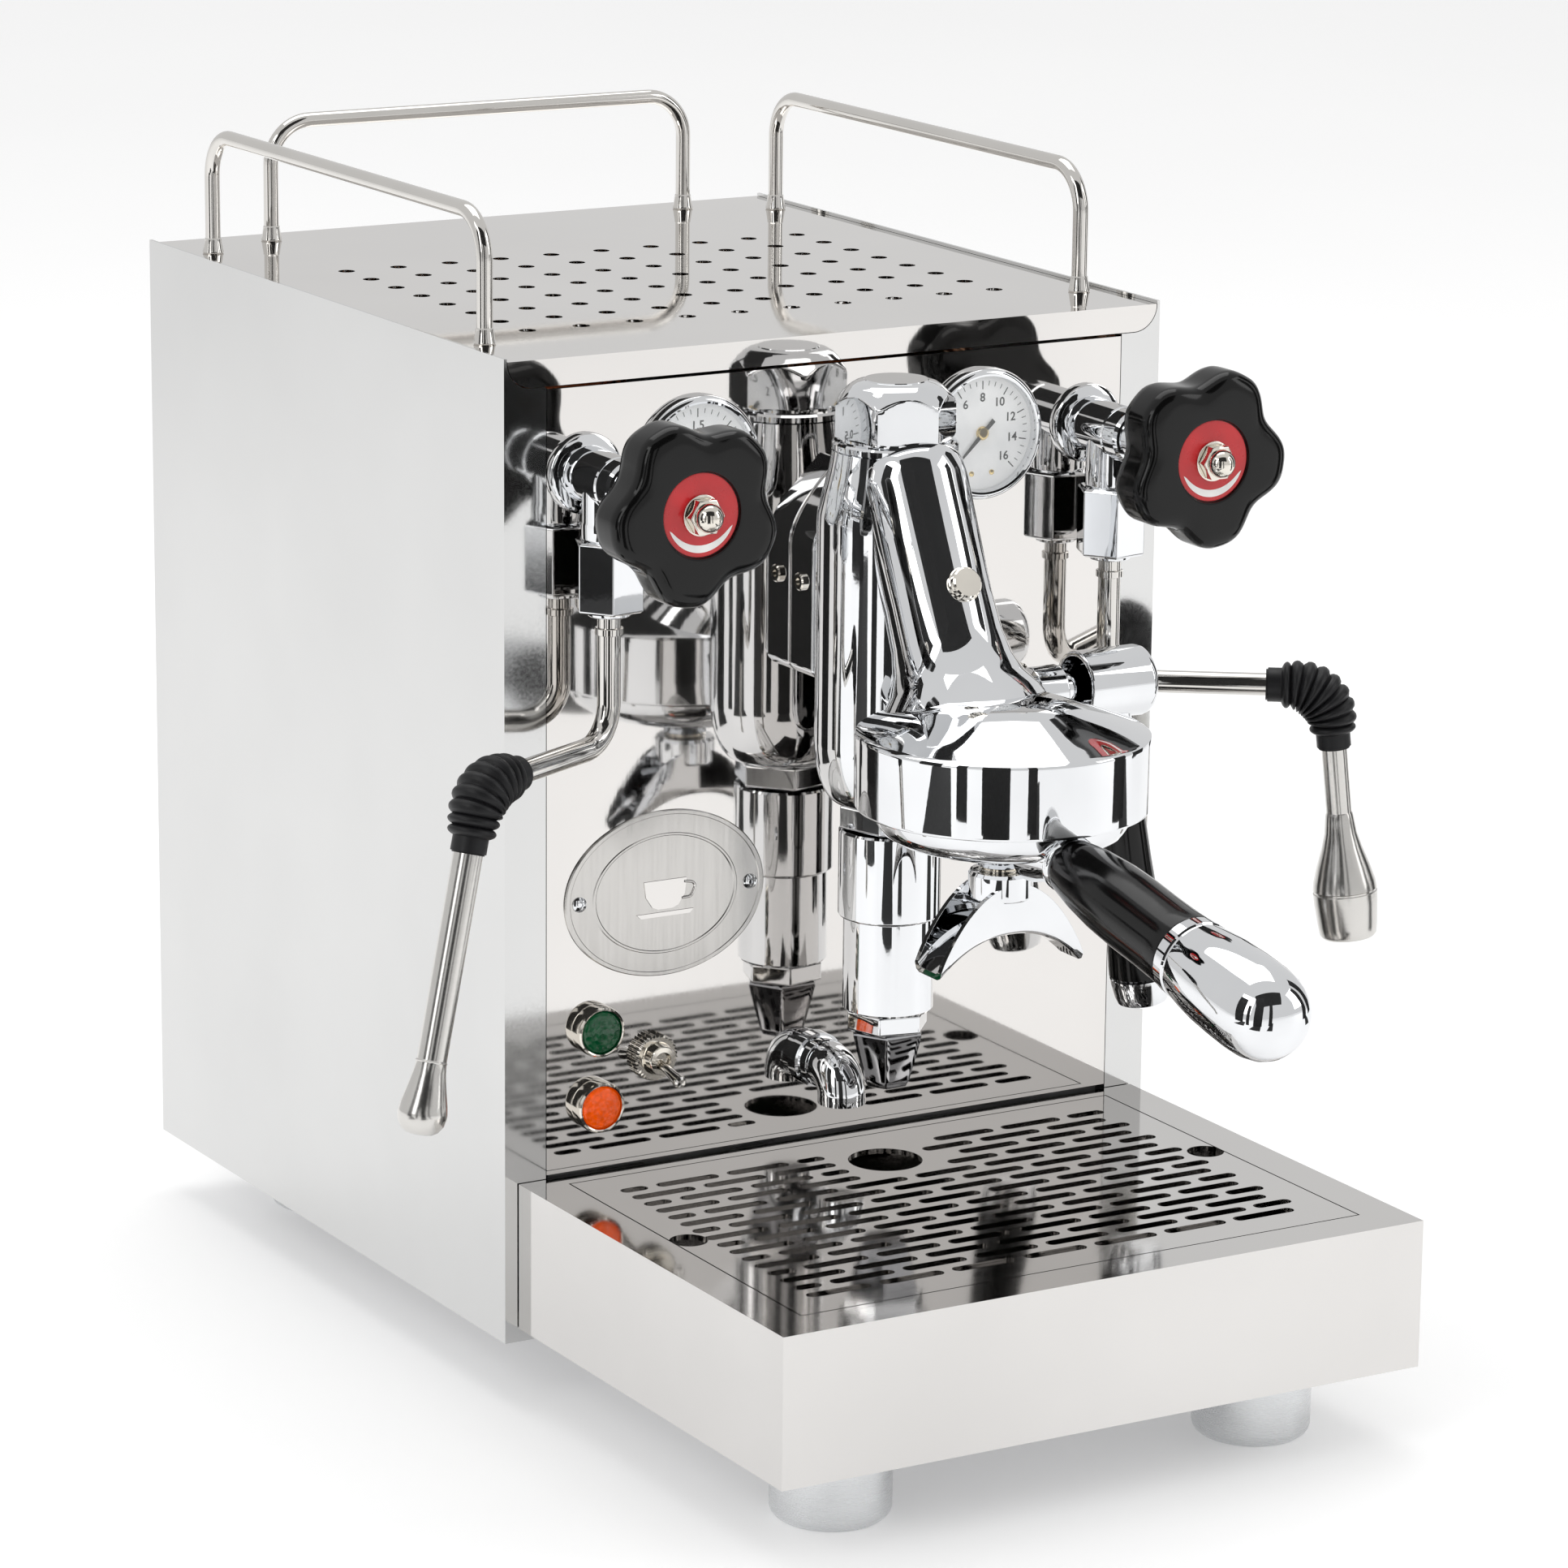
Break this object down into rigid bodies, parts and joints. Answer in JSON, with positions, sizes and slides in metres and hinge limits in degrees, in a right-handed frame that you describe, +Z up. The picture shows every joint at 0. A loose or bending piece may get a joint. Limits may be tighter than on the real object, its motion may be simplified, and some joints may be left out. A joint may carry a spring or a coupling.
{
  "type": "espresso machine",
  "caption": "Heat-exchanger espresso machine: polished steel cabinet, lever brewing group with a filter holder, steam and hot-water wands, lift-off cup tray and drip drawer.",
  "frame": {"origin": "middle of the whole outline seen from above, on the surface the feet stand on", "axes": "+X to the right seen from the front, -Y towards the user in front, +Z up"},
  "size_m": [0.4145, 0.6039, 0.4435],
  "materials": {
    "polished_steel": "mirror-polished stainless sheet",
    "satin_steel": "plain stainless sheet",
    "chrome_plate": "chrome over brass, bright",
    "nickel": "bright nickel",
    "steel_tube": "polished tube",
    "copper": "bare copper",
    "brass": "bare brass",
    "aluminium": "turned, satin",
    "black_knob": "glossy",
    "black_rubber": "matt",
    "white_dial": "matt white",
    "black_paint": "matt black",
    "clear_glass": "clear",
    "green_lens": "dark green",
    "orange_lens": "orange",
    "tank_plastic": "translucent",
    "white_plastic": "plain",
    "black_plastic": "plain",
    "pump_metal": "dark varnish"
  },
  "bodies": {
    "cabinet": {"base_frame": "satin_steel", "side_panel_left": "polished_steel", "side_panel_right": "polished_steel", "back_panel": "satin_steel", "splash_panel": "polished_steel", "feet": "aluminium", "badge_plate": "polished_steel", "gauge_cases": "chrome_plate", "gauge_dials": "white_dial", "gauge_glasses": "clear_glass", "lamp_green": "green_lens", "lamp_orange": "orange_lens", "switch_body": "chrome_plate", "drain_outlet": "chrome_plate", "lever_stop_pin": "nickel", "group_body": "chrome_plate", "group_cap_nut": "chrome_plate", "preinfusion_chamber": "chrome_plate", "shower_screen": "steel_tube", "steam_valve": "chrome_plate", "water_valve": "chrome_plate", "steam_seat": "white_plastic", "water_seat": "white_plastic", "boiler_shell": "copper", "boiler_flange": "brass", "flange_bolts": "steel_tube", "heating_element": "copper", "heat_exchanger": "copper", "boiler_bracket": "satin_steel", "pump": "pump_metal", "boiler_pipes": "copper", "water_tank": "tank_plastic", "control_box": "black_plastic", "power_inlet": "black_plastic"},
    "cover": {"top_cover": "polished_steel", "rail_left": "steel_tube", "rail_right": "steel_tube", "rail_back": "steel_tube"},
    "tray": {"drip_tray": "polished_steel"},
    "grate": {"drip_grate": "polished_steel"},
    "steam_tap": {"steam_spindle": "nickel", "steam_knob": "black_knob"},
    "water_tap": {"water_spindle": "nickel", "water_knob": "black_knob"},
    "steam_arm": {"steam_wand": "steel_tube", "steam_grip": "black_rubber", "steam_tip": "steel_tube"},
    "water_arm": {"water_wand": "steel_tube", "water_grip": "black_rubber", "water_nozzle": "chrome_plate"},
    "lever": {"brew_lever": "chrome_plate", "lever_grip": "black_knob"},
    "holder": {"filter_holder": "chrome_plate", "filter_basket": "steel_tube", "spout": "chrome_plate", "handle_grip": "black_knob", "handle_cap": "chrome_plate"},
    "toggle": {"switch_toggle": "chrome_plate"},
    "left_needle": {"needle_left": "black_paint"},
    "right_needle": {"needle_right": "black_paint"}
  },
  "joints": [
    {"name": "cover_lift", "type": "slide", "parent": "cabinet", "child": "cover", "axis": [0, 0, 1], "range_m": [0, 0.06]},
    {"name": "tray_slide", "type": "slide", "parent": "cabinet", "child": "tray", "axis": [0, -1, 0], "range_m": [0, 0.15]},
    {"name": "grate_lift", "type": "slide", "parent": "tray", "child": "grate", "axis": [0, 0, 1], "range_m": [0, 0.015]},
    {"name": "steam_knob_turn", "type": "hinge", "parent": "cabinet", "child": "steam_tap", "pos_m": [-0.09551, -0.0732, 0.3505], "axis": [0, -1, 0], "range_deg": [0, 270]},
    {"name": "water_knob_turn", "type": "hinge", "parent": "cabinet", "child": "water_tap", "pos_m": [0.11929, -0.0732, 0.3505], "axis": [0, -1, 0], "range_deg": [0, 270]},
    {"name": "steam_wand_swivel", "type": "hinge", "parent": "cabinet", "child": "steam_arm", "pos_m": [-0.09551, -0.0222, 0.3135], "axis": [0, 0, 1], "range_deg": [-25, 30]},
    {"name": "water_wand_swivel", "type": "hinge", "parent": "cabinet", "child": "water_arm", "pos_m": [0.11929, -0.0222, 0.3135], "axis": [0, 0, -1], "range_deg": [-25, 30]},
    {"name": "brew_lever_turn", "type": "hinge", "parent": "cabinet", "child": "lever", "pos_m": [0.10289, -0.0482, 0.2605], "axis": [-1, 0, 0], "range_deg": [0, 70]},
    {"name": "filter_holder_turn", "type": "hinge", "parent": "cabinet", "child": "holder", "pos_m": [0.01189, -0.1192, 0.2345], "axis": [0, 0, -1], "range_deg": [0, 45]},
    {"name": "power_toggle", "type": "hinge", "parent": "cabinet", "child": "toggle", "pos_m": [-0.06661, -0.0042, 0.1275], "axis": [-1, 0, 0], "range_deg": [0, 26]},
    {"name": "left_needle_turn", "type": "hinge", "parent": "cabinet", "child": "left_needle", "pos_m": [-0.04911, -0.0042, 0.3505], "axis": [0, 1, 0], "range_deg": [0, 270], "stiffness_Nm_per_rad": 0.00005},
    {"name": "right_needle_turn", "type": "hinge", "parent": "cabinet", "child": "right_needle", "pos_m": [0.07289, -0.0042, 0.3505], "axis": [0, 1, 0], "range_deg": [0, 270], "stiffness_Nm_per_rad": 0.00005}
  ]
}
